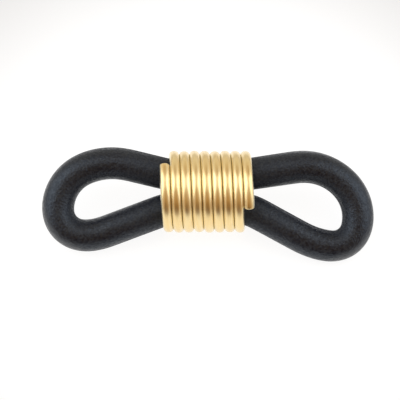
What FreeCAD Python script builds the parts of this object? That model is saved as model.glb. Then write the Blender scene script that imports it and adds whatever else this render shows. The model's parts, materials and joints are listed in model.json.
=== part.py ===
import FreeCAD, Part
import math
import os
import Sketcher

# A spectacle-cord end connector: a moulded rubber ring, folded double and gripped in the
# middle by a close-wound wire coil, so that it makes two loops. One loop goes over the
# temple of a pair of spectacles and the other takes the chain or cord. Sliding the coil
# along the two strands tightens one loop and slackens the other.
#
# Millimetres. It is drawn with X along the coil's axis and the loops in the XY plane. Then it
# is laid down as it comes to rest on a table: rolled about X until the lower edge of one loop
# touches down beside the coil. The table is Z = 0, and the origin is on it, under the middle
# of the whole connector.

SIZES = [
    # alias, value, what it is
    ("cord_diameter", 2.0, "thickness of the rubber ring's round section"),
    ("strand_gap", 0.04, "between the two strands where they run side by side"),
    ("strand_half_length", 1.9, "half of the stretch where the strands run straight"),
    ("flare_radius", 2.5, "bend where a strand leaves the straight stretch"),
    ("wire_diameter", 0.63, "thickness of the coil's round wire"),
    ("wire_gap", 0.01, "between one turn of the coil and the next"),
    ("coil_diameter", 5.14, "outside of the coil"),
    ("coil_turns", 8.19, "turns of wire, counted from cut end to cut end"),
    ("coil_first_cut", 46.7, "degrees about X from the loops' plane to the wire's first cut end"),
    ("coil_offset", -0.016, "middle of the coil's length, from the middle of the strands"),
    ("seat_clearance", 0.04, "between the wire and the rubber it is seated on"),
    ("seat_depth", 1.0, "how far out the seat reaches beyond the wire's centre"),
    # each loop: four arcs between two straight sides, with two flares to the strands
    ("left_upper_flare", 13.5, "degrees that the upper side spreads from the axis"),
    ("left_lower_flare", 20.5, "degrees that the lower side spreads from the axis"),
    ("left_crown_radius", 4.4, "broad arc over the top of the loop"),
    ("left_crown_turn", 37.5, "degrees"),
    ("left_shoulder_radius", 2.75, "arc down to the end of the loop"),
    ("left_shoulder_turn", 67.5, "degrees"),
    ("left_tip_radius", 1.65, "tightest arc, where the ring is folded"),
    ("left_tip_turn", 86.0, "degrees"),
    ("left_belly_radius", 3.5, "arc back to the lower side, through what turn is left"),
    ("right_upper_flare", 8.5, "degrees that the upper side spreads from the axis"),
    ("right_lower_flare", 28.5, "degrees that the lower side spreads from the axis"),
    ("right_crown_radius", 3.55, "broad arc over the top of the loop"),
    ("right_crown_turn", 60.0, "degrees"),
    ("right_shoulder_radius", 2.95, "arc down to the end of the loop"),
    ("right_shoulder_turn", 51.0, "degrees"),
    ("right_tip_radius", 1.55, "tightest arc, where the ring is folded"),
    ("right_tip_turn", 84.0, "degrees"),
    ("right_belly_radius", 5.1, "arc back to the lower side, through what turn is left"),
]

START, END, CENTRE = 1, 2, 3  # the points of a sketched line, arc or circle
ORIGIN, X_LINE, Y_LINE = -1, -1, -2  # a sketch's own origin and axes
UPPER_STRAIGHT, LOWER_STRAIGHT = 0, 9  # places of the two straights in a loop's path

doc = FreeCAD.newDocument("cord_end_connector")
sheet = doc.addObject("Spreadsheet::Sheet", "sizes")


def fill_sheet():
    for row, (alias, value, meaning) in enumerate(SIZES, start=1):
        sheet.set(f"A{row}", alias)
        sheet.set(f"B{row}", str(value))
        sheet.set(f"C{row}", meaning)
        sheet.setAlias(f"B{row}", alias)
    doc.recompute()


def size(alias):
    return float(getattr(sheet, alias))


def origin_item(body, role):
    return next(item for item in body.Origin.OriginFeatures if item.Role == role)


def new_body(name):
    body = doc.addObject("PartDesign::Body", name)
    body.Label = name
    return body


def new_sketch(body, name, plane):
    sketch = body.newObject("Sketcher::SketchObject", name)
    sketch.AttachmentSupport = (origin_item(body, plane), [""])
    sketch.MapMode = "FlatFace"
    return sketch


def bind(sketch, name, expression, *constraint):
    """Adds a named dimension to the sketch and ties it to the sheet."""
    number = sketch.addConstraint(Sketcher.Constraint(*constraint))
    sketch.renameConstraint(number, name)
    sketch.setExpression(f"Constraints.{name}", expression)


def strand_offset():
    """From the coil's axis to the middle of either strand."""
    return (size("cord_diameter") + size("strand_gap")) / 2


def arc_shift(heading, turn, radius):
    """How far a point travels along an arc, as (x, y); a positive turn is to the left."""
    side = math.copysign(radius, turn)
    begin, finish = math.radians(heading), math.radians(heading + turn)
    return (
        side * (math.sin(finish) - math.sin(begin)),
        side * (math.cos(begin) - math.cos(finish)),
    )


def loop_steps(loop):
    """The arcs of a loop as (radius, turn), with the two sides that join them as None."""
    flare = size("flare_radius")
    upper, lower = size(f"{loop}_upper_flare"), size(f"{loop}_lower_flare")
    arcs = [(size(f"{loop}_{part}_radius"), size(f"{loop}_{part}_turn"))
            for part in ("crown", "shoulder", "tip")]
    turn_left = 180 + upper + lower - sum(turn for _, turn in arcs)
    arcs.append((size(f"{loop}_belly_radius"), turn_left))
    return [(flare, -upper), None, *arcs, None, (flare, -lower)]


def side_lengths(steps):
    """Lengths of the two sides that bring the path back to the strand it started beside."""
    heading, x, y, sides = 180.0, 0.0, 2 * strand_offset(), []
    for step in steps:
        if step is None:
            sides.append((math.cos(math.radians(heading)), math.sin(math.radians(heading))))
            continue
        radius, turn = step
        dx, dy = arc_shift(heading, turn, radius)
        x, y, heading = x + dx, y + dy, heading + turn
    (ax, ay), (bx, by) = sides
    spread = ax * by - ay * bx
    return [(-x * by + y * bx) / spread, (-y * ax + x * ay) / spread]


def loop_geometry(loop):
    """The loop's path out of the coil, round and back, as (sketch geometry, first, last point)."""
    mirrored = loop == "right"
    straight = size("strand_half_length")
    steps = loop_steps(loop)
    sides = iter(side_lengths(steps))
    x, y, heading = 0.0, strand_offset(), 180.0
    path = []

    def line(length):
        nonlocal x, y
        begin = FreeCAD.Vector(-x if mirrored else x, y, 0)
        x += length * math.cos(math.radians(heading))
        y += length * math.sin(math.radians(heading))
        finish = FreeCAD.Vector(-x if mirrored else x, y, 0)
        path.append((Part.LineSegment(begin, finish), START, END))

    def arc(radius, turn):
        nonlocal x, y, heading
        side = math.copysign(1, turn)
        inward = math.radians(heading + 90 * side)
        centre = FreeCAD.Vector(x + radius * math.cos(inward), y + radius * math.sin(inward), 0)
        begin = heading - 90 * side
        finish = begin + turn
        if mirrored:
            centre.x = -centre.x
            begin, finish = 180 - begin, 180 - finish
        circle = Part.Circle(centre, FreeCAD.Vector(0, 0, 1), radius)
        ends = sorted((math.radians(begin), math.radians(finish)))
        runs_forward = finish > begin
        path.append((
            Part.ArcOfCircle(circle, *ends),
            START if runs_forward else END,
            END if runs_forward else START,
        ))
        dx, dy = arc_shift(heading, turn, radius)
        x, y, heading = x + dx, y + dy, heading + turn

    line(straight)
    for step in steps:
        if step is None:
            line(next(sides))
        else:
            arc(*step)
    line(straight)
    return path


def loop_sketch(body, loop):
    """The centreline of one loop, held by its radii, its turns and the two strands."""
    sketch = new_sketch(body, f"{loop}_loop_path", "XY_Plane")
    path = loop_geometry(loop)
    for geometry, _, _ in path:
        sketch.addGeometry(geometry, False)
    for place in range(len(path) - 1):
        sketch.addConstraint(Sketcher.Constraint(
            "Tangent", place, path[place][2], place + 1, path[place + 1][1]))

    half_spacing = "(sizes.cord_diameter + sizes.strand_gap) / 2"
    for name, place, on_axis in (("upper", UPPER_STRAIGHT, START), ("lower", LOWER_STRAIGHT, END)):
        sketch.addConstraint(Sketcher.Constraint("Horizontal", place))
        sketch.addConstraint(Sketcher.Constraint("PointOnObject", place, on_axis, Y_LINE))
        bind(sketch, f"{name}_strand", "sizes.strand_half_length", "Distance", place,
             size("strand_half_length"))
        ends = (ORIGIN, START, place, on_axis) if name == "upper" else (place, on_axis, ORIGIN, START)
        bind(sketch, f"{name}_offset", half_spacing, "DistanceY", *ends, strand_offset())

    radii = {1: "flare", 3: f"{loop}_crown", 4: f"{loop}_shoulder", 5: f"{loop}_tip",
             6: f"{loop}_belly", 8: "flare"}
    for place, alias in radii.items():
        bind(sketch, f"radius_{place}", f"sizes.{alias}_radius", "Radius", place,
             size(f"{alias}_radius"))
    turns = {1: "upper_flare", 3: "crown_turn", 4: "shoulder_turn", 5: "tip_turn", 8: "lower_flare"}
    for place, alias in turns.items():
        bind(sketch, f"turn_{place}", f"sizes.{loop}_{alias} * 1 deg", "Angle", place,
             math.radians(size(f"{loop}_{alias}")))
    return sketch


def strand_section(body, loop):
    """The round section of the upper strand, half way along the coil."""
    sketch = new_sketch(body, f"{loop}_loop_section", "YZ_Plane")
    radius = size("cord_diameter") / 2
    middle = FreeCAD.Vector(strand_offset(), 0, 0)
    circle = sketch.addGeometry(Part.Circle(middle, FreeCAD.Vector(0, 0, 1), radius), False)
    sketch.addConstraint(Sketcher.Constraint("PointOnObject", circle, CENTRE, X_LINE))
    bind(sketch, "offset", "(sizes.cord_diameter + sizes.strand_gap) / 2",
         "DistanceX", ORIGIN, START, circle, CENTRE, strand_offset())
    bind(sketch, "diameter", "sizes.cord_diameter", "Diameter", circle, 2 * radius)
    return sketch


def seat_sketch(body):
    """What the coil squeezes out of the rubber: a sleeve with its ends rounded by the wire."""
    sketch = new_sketch(body, "coil_seat_profile", "XY_Plane")
    radius = size("wire_diameter") / 2 + size("seat_clearance")
    wire_circle = (size("coil_diameter") - size("wire_diameter")) / 2
    pitch = size("wire_diameter") + size("wire_gap")
    half_length = size("coil_turns") * pitch / 2
    near, far = wire_circle - radius, wire_circle + size("seat_depth")
    left, right = size("coil_offset") - half_length, size("coil_offset") + half_length

    def point(x, y):
        return FreeCAD.Vector(x, y, 0)

    def corner(x, begin, finish):
        circle = Part.Circle(point(x, wire_circle), FreeCAD.Vector(0, 0, 1), radius)
        return Part.ArcOfCircle(circle, math.radians(begin), math.radians(finish))

    outline = [
        Part.LineSegment(point(left, near), point(right, near)),
        corner(right, 270, 360),
        Part.LineSegment(point(right + radius, wire_circle), point(right + radius, far)),
        Part.LineSegment(point(right + radius, far), point(left - radius, far)),
        Part.LineSegment(point(left - radius, far), point(left - radius, wire_circle)),
        corner(left, 180, 270),
    ]
    for geometry in outline:
        sketch.addGeometry(geometry, False)
    joins = [(0, END, 1, START), (1, END, 2, START), (4, END, 5, START), (5, END, 0, START)]
    for join in joins:
        sketch.addConstraint(Sketcher.Constraint("Tangent", *join))
    for place in (2, 3):
        sketch.addConstraint(Sketcher.Constraint("Coincident", place, END, place + 1, START))
    sketch.addConstraint(Sketcher.Constraint("Horizontal", 0))
    sketch.addConstraint(Sketcher.Constraint("Horizontal", 3))
    sketch.addConstraint(Sketcher.Constraint("Equal", 1, 5))

    wire_circle_cell = "(sizes.coil_diameter - sizes.wire_diameter) / 2"
    length_cell = "sizes.coil_turns * (sizes.wire_diameter + sizes.wire_gap)"
    bind(sketch, "lip", "sizes.wire_diameter / 2 + sizes.seat_clearance", "Radius", 1, radius)
    bind(sketch, "wire_circle", wire_circle_cell, "DistanceY", ORIGIN, START, 1, CENTRE, wire_circle)
    bind(sketch, "depth", "sizes.seat_depth", "DistanceY", 2, START, 2, END, far - wire_circle)
    bind(sketch, "length", length_cell, "DistanceX", 0, START, 0, END, right - left)
    bind(sketch, "right_end", f"sizes.coil_offset + {length_cell} / 2",
         "DistanceX", ORIGIN, START, 0, END, right)
    return sketch


def make_rubber_ring():
    """One closed ring of round rubber: two loops swept from mid-coil, then the coil's seat."""
    body = new_body("rubber_ring")
    for loop in ("left", "right"):
        section = strand_section(body, loop)
        path = loop_sketch(body, loop)
        doc.recompute()
        pipe = body.newObject("PartDesign::AdditivePipe", f"{loop}_loop")
        pipe.Profile = section
        pipe.Spine = path
        doc.recompute()
    before = body.Shape.Volume
    seat = body.newObject("PartDesign::Groove", "coil_seat")
    seat.Profile = seat_sketch(body)
    seat.ReferenceAxis = (origin_item(body, "X_Axis"), [""])
    seat.Angle = 360
    doc.recompute()
    if not 0 < before - body.Shape.Volume < before / 10:
        raise RuntimeError("the coil's seat didn't cut the rubber as it should")
    return body


def make_wire_coil():
    """Round wire wound right-handed about X, each turn all but touching the next."""
    body = new_body("wire_coil")
    sketch = new_sketch(body, "wire_section", "XY_Plane")
    pitch = size("wire_diameter") + size("wire_gap")
    begin = size("coil_offset") - size("coil_turns") * pitch / 2
    wire_circle = (size("coil_diameter") - size("wire_diameter")) / 2
    radius = size("wire_diameter") / 2
    circle = sketch.addGeometry(Part.Circle(
        FreeCAD.Vector(begin, wire_circle, 0), FreeCAD.Vector(0, 0, 1), radius), False)
    bind(sketch, "start", "sizes.coil_turns * (sizes.wire_diameter + sizes.wire_gap) / 2"
         " - sizes.coil_offset", "DistanceX", circle, CENTRE, ORIGIN, START, -begin)
    bind(sketch, "wire_circle", "(sizes.coil_diameter - sizes.wire_diameter) / 2",
         "DistanceY", ORIGIN, START, circle, CENTRE, wire_circle)
    bind(sketch, "diameter", "sizes.wire_diameter", "Diameter", circle, 2 * radius)
    doc.recompute()
    helix = body.newObject("PartDesign::AdditiveHelix", "winding")
    helix.Profile = sketch
    helix.ReferenceAxis = (origin_item(body, "X_Axis"), [""])
    helix.Mode = "pitch-turns-angle"
    helix.setExpression("Pitch", "sizes.wire_diameter + sizes.wire_gap")
    helix.setExpression("Turns", "sizes.coil_turns")
    helix.Angle = 0
    helix.LeftHanded = False
    doc.recompute()
    return body


def resting_roll(ring):
    """Degrees about X at which the coil and the lower edge of a loop both touch the table."""
    cord_radius = size("cord_diameter") / 2
    lower_strand = ring.Shape.optimalBoundingBox(False, False).YMin + cord_radius
    return math.degrees(math.asin((size("coil_diameter") / 2 - cord_radius) / -lower_strand))


def lay_on_table(ring, coil):
    """Rolls the connector to rest on Z = 0, with its middle over the origin."""
    along_x = FreeCAD.Vector(1, 0, 0)
    roll = resting_roll(ring)
    ring.Placement.Rotation = FreeCAD.Rotation(along_x, roll)
    coil.Placement.Rotation = FreeCAD.Rotation(along_x, roll + size("coil_first_cut"))
    whole = ring.Shape.optimalBoundingBox(False, False)
    whole.add(coil.Shape.optimalBoundingBox(False, False))
    middle = FreeCAD.Vector(-whole.Center.x, -whole.Center.y, size("coil_diameter") / 2)
    for body in (ring, coil):
        body.Placement.Base = middle
    doc.recompute()


def check(bodies):
    for item in doc.Objects:
        if "Invalid" in item.State or "Error" in item.State:
            raise RuntimeError(f"{item.Label} failed: {item.State}")
    for body in bodies:
        shape = body.Shape
        if shape.isNull() or not shape.isValid() or len(shape.Solids) != 1:
            raise RuntimeError(f"{body.Label} isn't one valid solid")


def report(ring, coil):
    lap = ring.Shape.common(coil.Shape).Volume
    for body in (ring, coil):
        box = body.Shape.optimalBoundingBox(False, False)
        print(f"{body.Label}: {body.Shape.Volume:.2f} mm3, X {box.XMin:.2f} to {box.XMax:.2f},"
              f" Y {box.YMin:.2f} to {box.YMax:.2f}, Z {box.ZMin:.2f} to {box.ZMax:.2f}")
    middle, roll = ring.Placement.Base, math.degrees(ring.Placement.Rotation.Angle)
    print(f"coil axis at Y {middle.y:.3f}, Z {middle.z:.3f}, the strands' middle at X {middle.x:.3f}")
    print(f"rolled {roll:.2f} degrees, so a loop's hole faces (0, {-math.sin(math.radians(roll)):.4f},"
          f" {math.cos(math.radians(roll)):.4f})")
    print(f"ring and coil share {lap:.4f} mm3")


def main():
    fill_sheet()
    ring = make_rubber_ring()
    coil = make_wire_coil()
    lay_on_table(ring, coil)
    check((ring, coil))
    report(ring, coil)
    os.makedirs("parts", exist_ok=True)
    for body in (ring, coil):
        body.Shape.exportStep(f"parts/{body.Label}.step")


main()
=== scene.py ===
import json
import math

import bpy
import numpy as np
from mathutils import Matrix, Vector


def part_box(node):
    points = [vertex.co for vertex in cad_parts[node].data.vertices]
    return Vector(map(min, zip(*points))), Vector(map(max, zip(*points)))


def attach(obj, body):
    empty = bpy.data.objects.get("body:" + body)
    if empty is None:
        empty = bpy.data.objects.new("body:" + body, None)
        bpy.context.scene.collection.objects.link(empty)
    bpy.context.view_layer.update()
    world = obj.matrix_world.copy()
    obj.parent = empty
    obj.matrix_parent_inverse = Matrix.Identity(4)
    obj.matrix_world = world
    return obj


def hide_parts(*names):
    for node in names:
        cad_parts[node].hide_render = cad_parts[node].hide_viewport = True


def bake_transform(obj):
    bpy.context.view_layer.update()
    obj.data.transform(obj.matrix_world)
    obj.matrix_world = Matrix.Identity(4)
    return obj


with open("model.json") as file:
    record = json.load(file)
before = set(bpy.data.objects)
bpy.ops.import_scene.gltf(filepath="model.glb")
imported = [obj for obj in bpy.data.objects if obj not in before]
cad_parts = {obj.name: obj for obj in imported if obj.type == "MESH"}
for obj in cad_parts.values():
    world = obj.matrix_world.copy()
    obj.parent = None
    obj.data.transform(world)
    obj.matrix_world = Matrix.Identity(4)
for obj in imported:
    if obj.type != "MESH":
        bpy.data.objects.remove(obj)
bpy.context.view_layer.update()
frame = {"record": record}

# A spectacle-cord end connector: a rubber ring pinched into two loops by a wire coil, lying
# on a table, rolled about X onto the coil and the lower edge of its longer loop.
#
# Both pieces are worked out in millimetres in the loops' own plane: x along the coil's axis
# from its middle, y across the loops, z through their holes. in_frame() then lays them down.
MM = 0.001

coil_low, coil_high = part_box("wire_coil")
AXIS_Y = (coil_low.y + coil_high.y) / 2 / MM
AXIS_Z = (coil_low.z + coil_high.z) / 2 / MM
COIL_MIDDLE = (coil_low.x + coil_high.x) / 2 / MM
_, HOLE_Y, HOLE_Z = frame["record"]["mounts"][0]["axis"]
ROLL = math.atan2(-HOLE_Y, HOLE_Z)

# The coil
COIL_RADIUS = 2.57  # outside
WIRE = 0.63  # width
WIRE_HEIGHT = 0.56  # across the winding, where it is drawn a little flat
WIRE_SQUARENESS = 2.15  # 2 is an ellipse
WIRE_CIRCLE = COIL_RADIUS - WIRE_HEIGHT / 2  # radius to the wire's centre
PITCH = 0.64
TURNS = 8.19
FIRST_CUT = math.radians(46.7)  # from the loops' plane, about x
LAST_CUT = FIRST_CUT + 2 * math.pi * TURNS
COIL_END = PITCH * TURNS / 2
COIL_REACH = (coil_high.x - coil_low.x) / 2 / MM  # from its middle to the end of its last turn
SPRING_OUT = 0.06  # how far the last end stands off the winding
SPRING_ANGLE = math.radians(50)
CUT_ROUNDING = 0.05
CUT_FACE_RINGS = (0.12, 0.3)  # radii on the flat of a cut end, in wire widths
WIRE_SIDES = 40
SECTIONS_PER_TURN = 96
WAVER = 0.008  # how far the winding wanders in and out
WAVER_WAVES = [(0.71, 1.3), (1.37, 0)]  # waves in a turn, and phase

# The ring
CORD = 2.0  # thickness
STRAND = 1.02  # from the coil's axis to the middle of either strand
STRAND_MIDDLE = 0.016  # from the coil's middle
STRAIGHT = 1.9
FLARE_RADIUS = 2.5
LOOPS = {
    # flares from the axis in degrees, then (radius, turn) of the crown, shoulder and tip,
    # and the radius of the belly, which takes the turn that is left
    "left": {"upper": 13.5, "lower": 20.5, "arcs": [(4.4, 37.5), (2.75, 67.5), (1.65, 86.0)],
             "belly": 3.5},
    "right": {"upper": 8.5, "lower": 28.5, "arcs": [(3.55, 60.0), (2.95, 51.0), (1.55, 84.0)],
              "belly": 5.1},
}
DRAWN_STEP = 0.01  # spacing of the points that the loops are drawn with
EASED_STEP = 0.02
SMOOTHING = 0.33  # how far each bend is eased into the next
BEND_THINNING = 0.08  # how much a bend flattens the section, for a curvature of 1 per mm
RING_STEP = 0.08  # spacing of the ring's cross sections
RING_SIDES = 72
CROWDING = 0.4  # how far the section's points are drawn towards the parting line
FLASH_HEIGHT = 0.022  # the mould's parting line, round the ring's inner and outer edges
FLASH_WIDTH = 0.045
FLASH_SWAY = math.radians(14)  # how far the ring twists the parting line up and down
FLASH_WAVES = [(1, 1, 0.6), (0.5, 2, 2.1)]  # size, waves in a lap of the ring, phase
HANDLED_FROM_COIL = 3.0  # distance over which fingers polish the rubber more and more
SHELTER = 3.5  # how fast the inner side of a tight bend gets duller
SHELTER_FROM = 0.2  # the squeeze that it starts from
SEAT_GAP = 0.03  # between rubber and wire inside the coil; at the end turns they cross by 0.01
SEAT = WIRE_CIRCLE - WIRE_HEIGHT / 2 - SEAT_GAP  # radius the coil squeezes the rubber into


def turned(radius, turn, heading):
    """How far a point travels along an arc, as (x, y), angles in degrees."""
    side = math.copysign(radius, turn)
    begin, finish = math.radians(heading), math.radians(heading + turn)
    return np.array([side * (math.sin(finish) - math.sin(begin)),
                     side * (math.cos(begin) - math.cos(finish))])


def loop_steps(loop):
    """A loop's arcs as (radius, turn) in order, with None for each straight side."""
    turn_left = 180 + loop["upper"] + loop["lower"] - sum(turn for _, turn in loop["arcs"])
    return [(FLARE_RADIUS, -loop["upper"]), None, *loop["arcs"], (loop["belly"], turn_left),
            None, (FLARE_RADIUS, -loop["lower"])]


def side_lengths(steps):
    """Lengths of a loop's two straight sides that bring it back beside where it began."""
    heading, drift, sides = 180.0, np.array([0.0, 2 * STRAND]), []
    for step in steps:
        if step is None:
            sides.append([math.cos(math.radians(heading)), math.sin(math.radians(heading))])
        else:
            drift += turned(*step, heading)
            heading += step[1]
    return np.linalg.solve(np.array(sides).T, -drift)


def loop_points(loop):
    """Closely spaced points from the middle of the coil, out round the -X loop and back."""
    steps = loop_steps(loop)
    sides = iter(side_lengths(steps))
    here, heading = np.array([0.0, STRAND]), 180.0
    points = []

    def go(length, radius, turn):
        nonlocal here, heading
        count = max(2, round(length / DRAWN_STEP))
        angle = math.radians(heading)
        ahead = length * np.array([math.cos(angle), math.sin(angle)])
        for share in np.arange(count) / count:
            points.append(here + (turned(radius, turn * share, heading) if turn else ahead * share))
        here = here + (turned(radius, turn, heading) if turn else ahead)
        heading += turn

    go(STRAIGHT, 0, 0)
    for step in steps:
        if step is None:
            go(next(sides), 0, 0)
        else:
            go(step[0] * abs(math.radians(step[1])), *step)
    go(STRAIGHT, 0, 0)
    return np.array(points)


def even(points, spacing):
    """The closed line through the points, divided into equal steps of about the spacing."""
    closed = np.vstack([points, points[:1]])
    run = np.concatenate([[0], np.cumsum(np.linalg.norm(np.diff(closed, axis=0), axis=1))])
    count = round(run[-1] / spacing)
    at = np.arange(count) * run[-1] / count
    return np.stack([np.interp(at, run, closed[:, axis]) for axis in range(2)], axis=1)


def eased(points, spacing, reach):
    """The closed line with each point averaged over its neighbours within a few reaches."""
    count = len(points)
    away = np.minimum(np.arange(count), count - np.arange(count)) * spacing
    weight = np.exp(-(away / reach) ** 2 / 2)
    weight /= weight.sum()
    spectrum = np.fft.fft(weight)[:, None]
    return np.real(np.fft.ifft(np.fft.fft(points, axis=0) * spectrum, axis=0))


def ring_centreline():
    left = loop_points(LOOPS["left"])
    right = loop_points(LOOPS["right"])[::-1] * [-1, 1]
    line = eased(even(np.vstack([left, right]), EASED_STEP), EASED_STEP, SMOOTHING)
    return even(line, RING_STEP) + [STRAND_MIDDLE, 0]


def nearest_wire_reach(x, angle):
    """How far from the coil's axis the rubber may reach at x, for each angle about the axis.

    It is the seat's radius inside the coil, widens round the end turns and has no limit
    beyond them. It takes the end turns as round wire, no wider than the drawn wire is high,
    so it falls a little short of them.
    """
    around = (angle - FIRST_CUT) % (2 * math.pi) / (2 * math.pi)
    first = -COIL_END + PITCH * around
    last = COIL_END - PITCH * ((LAST_CUT - angle) % (2 * math.pi)) / (2 * math.pi)
    outside = np.maximum(0, np.maximum(first - x, x - last))
    lip = WIRE_CIRCLE - SEAT
    reach = WIRE_CIRCLE - np.sqrt(np.maximum(0, lip ** 2 - outside ** 2))
    return np.where(outside < lip, reach, np.inf)


def squeezed(points):
    """The ring's points, pressed in wherever the coil is tighter than the rubber."""
    radius = np.hypot(points[:, 1], points[:, 2])
    reach = nearest_wire_reach(points[:, 0], np.arctan2(points[:, 2], points[:, 1]))
    share = np.minimum(1, reach / np.maximum(radius, 1e-9))
    return points * np.stack([np.ones(len(share)), share, share], axis=1)


def in_frame(point):
    """A point or points of the loops' plane, laid down in the row frame, in metres."""
    x, y, z = np.asarray(point, float).T
    return MM * np.array([COIL_MIDDLE + x,
                          AXIS_Y + y * math.cos(ROLL) - z * math.sin(ROLL),
                          AXIS_Z + y * math.sin(ROLL) + z * math.cos(ROLL)]).T


def tube_faces(rings, sides, closed):
    """Quads between neighbouring rings of a tube."""
    last = rings if closed else rings - 1
    return [
        (r * sides + s, r * sides + (s + 1) % sides,
         (r + 1) % rings * sides + (s + 1) % sides, (r + 1) % rings * sides + s)
        for r in range(last) for s in range(sides)
    ]


def new_piece(name, points, faces):
    mesh = bpy.data.meshes.new(name)
    mesh.from_pydata(in_frame(points).tolist(), [], faces)
    mesh.validate()
    mesh.shade_smooth()
    piece = bpy.data.objects.new(name, mesh)
    bpy.context.scene.collection.objects.link(piece)
    return piece


def keep_unrolled(piece, along, around, radius):
    """Stores each point's place on the same cord or wire laid out straight, of the radius."""
    straight = np.stack([along, radius * np.cos(around), radius * np.sin(around)], axis=1)
    layer = piece.data.attributes.new("laid_straight", "FLOAT_VECTOR", "POINT")
    layer.data.foreach_set("vector", straight.astype(np.float32).ravel())


def keep_value(piece, name, values):
    """Stores a number for each point, for the material to use."""
    layer = piece.data.attributes.new(name, "FLOAT", "POINT")
    layer.data.foreach_set("value", values.astype(np.float32).ravel())


def section_angles():
    """Angles round the ring's section, closest together at the parting line."""
    even_angles = np.arange(RING_SIDES) * 2 * math.pi / RING_SIDES
    return even_angles - CROWDING * np.sin(2 * even_angles)


def make_ring():
    line = ring_centreline()
    count = len(line)
    ahead, behind = np.roll(line, -1, axis=0), np.roll(line, 1, axis=0)
    along = (ahead - behind) / np.linalg.norm(ahead - behind, axis=1)[:, None]
    outward = np.stack([along[:, 1], -along[:, 0]], axis=1)
    turning = np.roll(along, -1, axis=0) - np.roll(along, 1, axis=0)
    curvature = np.linalg.norm(turning, axis=1) / (2 * RING_STEP)
    thinned = 1 - BEND_THINNING * curvature ** 2

    angles = section_angles()
    off_parting = np.abs(np.sin(angles)) * CORD / 2
    radius = CORD / 2 + FLASH_HEIGHT * np.exp(-(off_parting / FLASH_WIDTH) ** 2)
    lap = np.arange(count) / count * 2 * math.pi
    sway = FLASH_SWAY * sum(size * np.sin(waves * lap + phase)
                            for size, waves, phase in FLASH_WAVES)
    around = angles[None, :] + sway[:, None]

    sideways = radius[None, :] * np.cos(around) * thinned[:, None]
    points = np.empty((count, RING_SIDES, 3))
    points[:, :, :2] = sideways[:, :, None] * outward[:, None, :] + line[:, None, :]
    points[:, :, 2] = radius[None, :] * np.sin(around)
    points = squeezed(points.reshape(-1, 3))
    piece = new_piece("rubber_loop_ring", points, tube_faces(count, RING_SIDES, True))
    keep_unrolled(piece, np.repeat(np.arange(count) * RING_STEP, RING_SIDES),
                  np.tile(angles, count), CORD / 2)

    bend = -(turning * outward).sum(axis=1) / (2 * RING_STEP)
    stretch = bend[:, None] * np.cos(around) * CORD / 2
    # The rubber's colour turns paler with this on the outside of the tightest bends: a painted rim
    # sheen.
    keep_value(piece, "stretch", stretch)
    from_coil = (np.abs(line[:, 0]) - COIL_REACH) / HANDLED_FROM_COIL
    sheltered = SHELTER * np.minimum(stretch + SHELTER_FROM, 0)
    keep_value(piece, "handled", np.clip(from_coil, 0, 1)[:, None] + sheltered)
    return piece


def follow_coil(piece):
    """Bakes the ring's placement into its mesh and reads back its points.
    """
    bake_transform(piece)
    places = np.empty(len(piece.data.vertices) * 3)
    piece.data.vertices.foreach_get("co", places)


def cut_end():
    """The wire's last few sections at a cut end, as (distance from the end, radius)."""
    steps = [math.radians(angle) for angle in (0, 30, 60, 90)]
    flat = [(0.0, WIRE * share) for share in CUT_FACE_RINGS]
    rounded = [(CUT_ROUNDING * (1 - math.cos(angle)),
                WIRE / 2 - CUT_ROUNDING * (1 - math.sin(angle))) for angle in steps]
    return flat + rounded


def superellipse(wave):
    """A sine or cosine, swollen as the wire's slightly square section needs."""
    return np.sign(wave) * np.abs(wave) ** (2 / WIRE_SQUARENESS)


def make_coil():
    length = math.hypot(2 * math.pi * WIRE_CIRCLE, PITCH) * TURNS
    end = cut_end()
    count = round(TURNS * SECTIONS_PER_TURN)
    inner = np.linspace(CUT_ROUNDING, length - CUT_ROUNDING, count)[1:-1]
    at = np.concatenate([[place for place, _ in end], inner,
                         [length - place for place, _ in reversed(end)]])
    radii = np.concatenate([[radius for _, radius in end], np.full(len(inner), WIRE / 2),
                            [radius for _, radius in reversed(end)]])
    angle = FIRST_CUT + at / length * 2 * math.pi * TURNS
    sprung = np.clip((angle - (LAST_CUT - SPRING_ANGLE)) / SPRING_ANGLE, 0, 1)
    waver = WAVER * sum(np.sin(waves * angle + phase) for waves, phase in WAVER_WAVES)
    circle = WIRE_CIRCLE + SPRING_OUT * sprung ** 2 + waver
    outward = np.stack([0 * angle, np.cos(angle), np.sin(angle)], axis=1)
    centre = circle[:, None] * outward
    centre[:, 0] = -COIL_END + PITCH * at / length * TURNS
    onward = np.stack([np.full(len(at), PITCH / (2 * math.pi)),
                       -circle * np.sin(angle), circle * np.cos(angle)], axis=1)
    onward /= np.linalg.norm(onward, axis=1)[:, None]
    beside = np.cross(onward, outward)
    turn = np.arange(WIRE_SIDES) * 2 * math.pi / WIRE_SIDES
    outer = WIRE_HEIGHT / WIRE * superellipse(np.cos(turn))
    across = superellipse(np.sin(turn))
    spokes = (outer[None, :, None] * outward[:, None]
              + across[None, :, None] * beside[:, None])
    points = (centre[:, None] + radii[:, None, None] * spokes).reshape(-1, 3)
    rings = len(at)
    faces = tube_faces(rings, WIRE_SIDES, False)
    faces.append(tuple(range(WIRE_SIDES - 1, -1, -1)))
    faces.append(tuple(range((rings - 1) * WIRE_SIDES, rings * WIRE_SIDES)))
    piece = new_piece("gold_wire_coil", points, faces)
    keep_unrolled(piece, np.repeat(at, WIRE_SIDES), np.tile(turn, rings), 1.0)
    return piece


def new_material(name):
    material = bpy.data.materials.new(name)
    material.use_nodes = True
    return material, material.node_tree, material.node_tree.nodes["Principled BSDF"]


def kept(tree, name):
    """The node that reads what keep_unrolled() or keep_value() stored."""
    layer = tree.nodes.new("ShaderNodeAttribute")
    layer.attribute_name = name
    return layer


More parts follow.
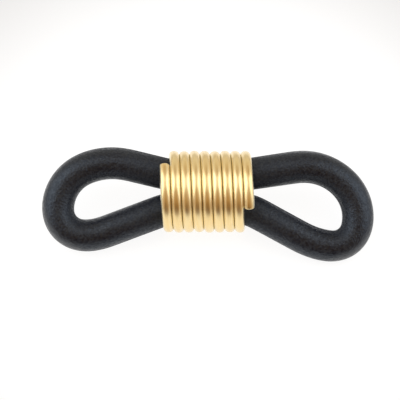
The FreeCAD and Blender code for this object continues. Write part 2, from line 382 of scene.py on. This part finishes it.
def laid_straight(tree, stretch=(1, 1, 1)):
    """The stored straight layout, scaled along the cord and across it."""
    scaled = tree.nodes.new("ShaderNodeVectorMath")
    scaled.operation = "MULTIPLY"
    scaled.inputs[1].default_value = stretch
    tree.links.new(kept(tree, "laid_straight").outputs["Vector"], scaled.inputs[0])
    return scaled.outputs["Vector"]


def along_axis(tree, vector, axis):
    parts = tree.nodes.new("ShaderNodeSeparateXYZ")
    tree.links.new(vector, parts.inputs["Vector"])
    return parts.outputs[axis]


def worked(tree, operation, *values):
    """A Math node's result, each value a number or another node's output."""
    node = tree.nodes.new("ShaderNodeMath")
    node.operation = operation
    for socket, value in zip(node.inputs, values):
        if isinstance(value, (int, float)):
            socket.default_value = value
        else:
            tree.links.new(value, socket)
    return node.outputs["Value"]


def noise(tree, place, scale, detail):
    texture = tree.nodes.new("ShaderNodeTexNoise")
    texture.inputs["Scale"].default_value = scale
    texture.inputs["Detail"].default_value = detail
    tree.links.new(place, texture.inputs["Vector"])
    return texture.outputs["Fac"]


def between(tree, value, low, high, from_low=0.35, from_high=0.65):
    """The value spread from one range, the noises' usual one if not given, onto another."""
    spread = tree.nodes.new("ShaderNodeMapRange")
    spread.inputs["From Min"].default_value = from_low
    spread.inputs["From Max"].default_value = from_high
    spread.inputs["To Min"].default_value = low
    spread.inputs["To Max"].default_value = high
    tree.links.new(value, spread.inputs["Value"])
    return spread.outputs["Result"]


def blended(tree, share, first, second):
    """A colour between two, each a colour or another node's output."""
    mix = tree.nodes.new("ShaderNodeMix")
    mix.data_type = "RGBA"
    tree.links.new(share, mix.inputs["Factor"])
    for name, colour in (("A", first), ("B", second)):
        socket = next(s for s in mix.inputs if s.name == name and s.type == "RGBA")
        if isinstance(colour, tuple):
            socket.default_value = (*colour, 1)
        else:
            tree.links.new(colour, socket)
    return next(s for s in mix.outputs if s.type == "RGBA")


def bumped(tree, height, depth, below=None):
    """A bump of the depth, in mm, over another bump if there is one."""
    bump = tree.nodes.new("ShaderNodeBump")
    bump.inputs["Strength"].default_value = 1.0
    bump.inputs["Distance"].default_value = depth * MM
    tree.links.new(height, bump.inputs["Height"])
    if below is not None:
        tree.links.new(below, bump.inputs["Normal"])
    return bump.outputs["Normal"]


RUBBER_BLACK = (0.0001, 0.0009, 0.0078)
RUBBER_FADED = (0.0014, 0.0026, 0.0098)
RUBBER_SPECK = (0.0120, 0.0134, 0.0196)
# Painted rim sheen: a pale colour on the outside of the tightest bends, standing in for light
# glancing off them.
RUBBER_PAINTED_RIM_SHEEN = (0.078, 0.079, 0.083)
RUBBER_GLINT = (0.82, 0.92, 1.0)  # the tint of its shine
POLISHED = 0.38  # roughness where it is handled most
SHELTERED = 0.76  # roughness inside the tightest bends
SWELL_DEPTH = 0.03
GRAIN_DEPTH = 0.03


def rubber_material():
    """Blue-black rubber: fine specks, a moulded grain, and a painted rim sheen, paler on the
    outside of the tightest bends.

    It is satin where fingers polish it, and duller near the coil and inside the bends.
    """
    material, tree, shader = new_material("moulded_rubber")
    place = laid_straight(tree)
    fading = between(tree, noise(tree, place, 0.22, 2), 0, 1, 0.38, 0.62)
    specks = between(tree, noise(tree, place, 7.5, 3), 0, 1, 0.44, 0.57)
    skin = blended(tree, fading, RUBBER_BLACK, RUBBER_FADED)
    speckled = blended(tree, specks, skin, RUBBER_SPECK)
    # Painted rim sheen: the outside of each tight bend is coloured paler, in place of light falling
    # on it.
    painted_rim_sheen_share = between(tree, kept(tree, "stretch").outputs["Fac"], 0, 1, 0.28, 0.75)
    colour = blended(tree, painted_rim_sheen_share, speckled, RUBBER_PAINTED_RIM_SHEEN)
    tree.links.new(colour, shader.inputs["Base Color"])

    uneven = between(tree, noise(tree, place, 5.0, 3), -0.08, 0.08, 0.42, 0.58)
    handled = between(tree, kept(tree, "handled").outputs["Fac"], SHELTERED, POLISHED, -1, 1)
    tree.links.new(worked(tree, "ADD", uneven, handled), shader.inputs["Roughness"])
    swell = bumped(tree, noise(tree, place, 3.0, 2), SWELL_DEPTH)
    grain = bumped(tree, noise(tree, place, 8.0, 2), GRAIN_DEPTH, swell)
    tree.links.new(grain, shader.inputs["Normal"])
    shader.inputs["IOR"].default_value = 1.52
    shader.inputs["Specular Tint"].default_value = (*RUBBER_GLINT, 1)
    shader.inputs["Sheen Weight"].default_value = 0.03
    shader.inputs["Sheen Roughness"].default_value = 0.45
    return material


PLATE_PALE = (0.94, 0.75, 0.39)
PLATE_DEEP = (0.91, 0.68, 0.31)
# Painted light: a paler plate in the grooves between the turns, lifting the shade that falls there.
PLATE_PAINTED_GROOVE_LIGHT = (0.99, 0.89, 0.62)
GROOVE_RAGGEDNESS = 0.25  # how unevenly the painted groove light begins beside the grooves
DRAWN_LINE_DEPTH = 0.003


def gold_material():
    """Pale gold plate under clear lacquer, with drawn lines along the wire.

    It is painted paler in the grooves between the turns: a painted light that lifts the shade
    falling there.
    """
    material, tree, shader = new_material("gold_plated_wire")
    drawn = noise(tree, laid_straight(tree, (0.35, 9, 9)), 1.0, 3)
    tone = between(tree, noise(tree, laid_straight(tree, (0.5, 1.5, 1.5)), 1.0, 3), 0, 1)
    plate = blended(tree, tone, PLATE_PALE, PLATE_DEEP)

    aside = worked(tree, "ABSOLUTE", along_axis(tree, laid_straight(tree), "Z"))
    patchy = noise(tree, laid_straight(tree, (1.5, 3, 3)), 1.0, 4)
    depth = worked(tree, "MULTIPLY_ADD", patchy, GROOVE_RAGGEDNESS, aside)
    # Painted light in the grooves: the plate turns paler there to lift their shade.
    groove_light_share = between(tree, depth, 0, 1, 0.80, 1.10)
    colour = blended(tree, groove_light_share, plate, PLATE_PAINTED_GROOVE_LIGHT)
    tree.links.new(colour, shader.inputs["Base Color"])
    tree.links.new(between(tree, drawn, 0.26, 0.40), shader.inputs["Roughness"])
    tree.links.new(bumped(tree, drawn, DRAWN_LINE_DEPTH), shader.inputs["Normal"])
    shader.inputs["Metallic"].default_value = 1.0
    shader.inputs["Coat Weight"].default_value = 0.7
    shader.inputs["Coat Roughness"].default_value = 0.25
    return material


FLOOR_REACH = 2.0  # from its middle to an edge, in metres
FLOOR_DROP = 0.02  # keeps it just clear of the connector
GLOW = 0.9
GLOW_WHOLE = 15 * MM  # from the middle to where the glow starts to fade
GLOW_GONE = 34 * MM
LIT_PAPER = (0.18, 0.18, 0.18)  # where it glows
PAPER = (0.5, 0.5, 0.5)


def make_floor():
    """A pale table that glows round the connector, as a light table does."""
    mesh = bpy.data.meshes.new("floor")
    corners = [(-1, -1), (1, -1), (1, 1), (-1, 1)]
    mesh.from_pydata([(x * FLOOR_REACH, y * FLOOR_REACH, -FLOOR_DROP * MM) for x, y in corners],
                     [], [(0, 1, 2, 3)])
    floor = bpy.data.objects.new("floor", mesh)
    bpy.context.scene.collection.objects.link(floor)
    material, tree, shader = new_material("pale_table")
    shader.inputs["Roughness"].default_value = 0.9
    shader.inputs["Specular IOR Level"].default_value = 0.0
    place = tree.nodes.new("ShaderNodeNewGeometry").outputs["Position"]
    away = tree.nodes.new("ShaderNodeVectorMath")
    away.operation = "LENGTH"
    tree.links.new(place, away.inputs[0])
    away = away.outputs["Value"]
    glow = between(tree, away, GLOW, 0.0, GLOW_WHOLE, GLOW_GONE)
    tree.links.new(glow, shader.inputs["Emission Strength"])
    unlit = between(tree, away, 0, 1, GLOW_WHOLE, GLOW_GONE)
    tree.links.new(blended(tree, unlit, LIT_PAPER, PAPER), shader.inputs["Base Color"])
    shader.inputs["Emission Color"].default_value = (1, 1, 1, 1)
    mesh.materials.append(material)


DAYLIGHT = (0.93, 0.98, 1.06)
SOFTBOXES = {
    # place from the coil's middle in mm, size in mm, brightness
    "overhead_left_softbox": ((-97, 8, 225), (148, 146), 1.25),
    "overhead_right_softbox": ((97, 8, 225), (148, 146), 1.12),
    "left_softbox": ((-180, 8, 106), (195, 200), 1.3),
    "right_softbox": ((180, 8, 106), (195, 200), 1.1),
}


def make_lights():
    """Rectangular lights that face the coil and stay out of the picture themselves."""
    middle = Vector((COIL_MIDDLE, AXIS_Y, AXIS_Z)) * MM
    for name, (place, size, radiance) in SOFTBOXES.items():
        light = bpy.data.lights.new(name, "AREA")
        light.shape = "RECTANGLE"
        light.size, light.size_y = size[0] * MM, size[1] * MM
        light.energy = radiance * math.pi * light.size * light.size_y
        light.color = DAYLIGHT
        lamp = bpy.data.objects.new(name, light)
        lamp.location = middle + Vector(place) * MM
        lamp.rotation_euler = (middle - lamp.location).to_track_quat("-Z", "Y").to_euler()
        lamp.visible_camera = False
        bpy.context.scene.collection.objects.link(lamp)


SIDE_WALLS = (0.63, 0.65, 0.68)
BACK_WALL = (0.83, 0.77, 0.64)
MIDDLE = (0.49, 0.34, 0.17)  # a strip between the softboxes, from the front to low on the back
FRONT = (0.48, 0.27, 0.08)
FRONT_MIDDLE = (0.10, 0.05, 0.02)
FRONT_TILT = math.radians(88)  # from overhead to the middle of the front


def make_room():
    """Pale walls, with a dimmer strip overhead and brown on the camera's side."""
    world = bpy.data.worlds.new("studio")
    world.use_nodes = True
    tree = world.node_tree
    facing = tree.nodes.new("ShaderNodeTexCoord").outputs["Generated"]
    sideways = worked(tree, "ABSOLUTE", along_axis(tree, facing, "X"))
    backwards = along_axis(tree, facing, "Y")
    middle = worked(tree, "MULTIPLY", between(tree, sideways, 1, 0, 0.15, 0.6),
                    between(tree, backwards, 1, 0, 0.6, 0.95))
    back = between(tree, backwards, 0, 1, 0.3, 0.75)
    walls = blended(tree, back, SIDE_WALLS, BACK_WALL)
    pale = blended(tree, middle, walls, MIDDLE)
    forwards = tree.nodes.new("ShaderNodeVectorMath")
    forwards.operation = "DOT_PRODUCT"
    forwards.inputs[1].default_value = (0, -math.sin(FRONT_TILT), math.cos(FRONT_TILT))
    tree.links.new(facing, forwards.inputs[0])
    forwards = forwards.outputs["Value"]
    warm = blended(tree, between(tree, forwards, 0, 1, 0.3, 0.85), pale, FRONT)
    colour = blended(tree, between(tree, forwards, 0, 1, 0.78, 0.97), warm, FRONT_MIDDLE)
    tree.links.new(colour, tree.nodes["Background"].inputs["Color"])
    bpy.context.scene.world = world


CAMERA_PLACE = (-0.422, -0.523, 94.5)  # in the loops' own plane; the frame takes in 25.2 mm


def make_camera():
    """A long lens, square to the loops' plane."""
    camera = bpy.data.cameras.new("camera")
    camera.lens = 135
    camera.sensor_width = 36
    camera.clip_start = 0.001
    camera.clip_end = 10
    holder = bpy.data.objects.new("camera", camera)
    holder.location = in_frame(CAMERA_PLACE)
    holder.rotation_euler = (ROLL, 0, 0)
    bpy.context.scene.collection.objects.link(holder)
    bpy.context.scene.camera = holder


make_camera()

ring = make_ring()
ring.data.materials.append(rubber_material())
coil = make_coil()
coil.data.materials.append(gold_material())
make_floor()
make_lights()
make_room()

follow_coil(ring)
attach(coil, "coil")
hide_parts("rubber_ring")
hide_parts("wire_coil")

scene = bpy.context.scene
scene.view_settings.view_transform = "Standard"
scene.view_settings.look = "None"
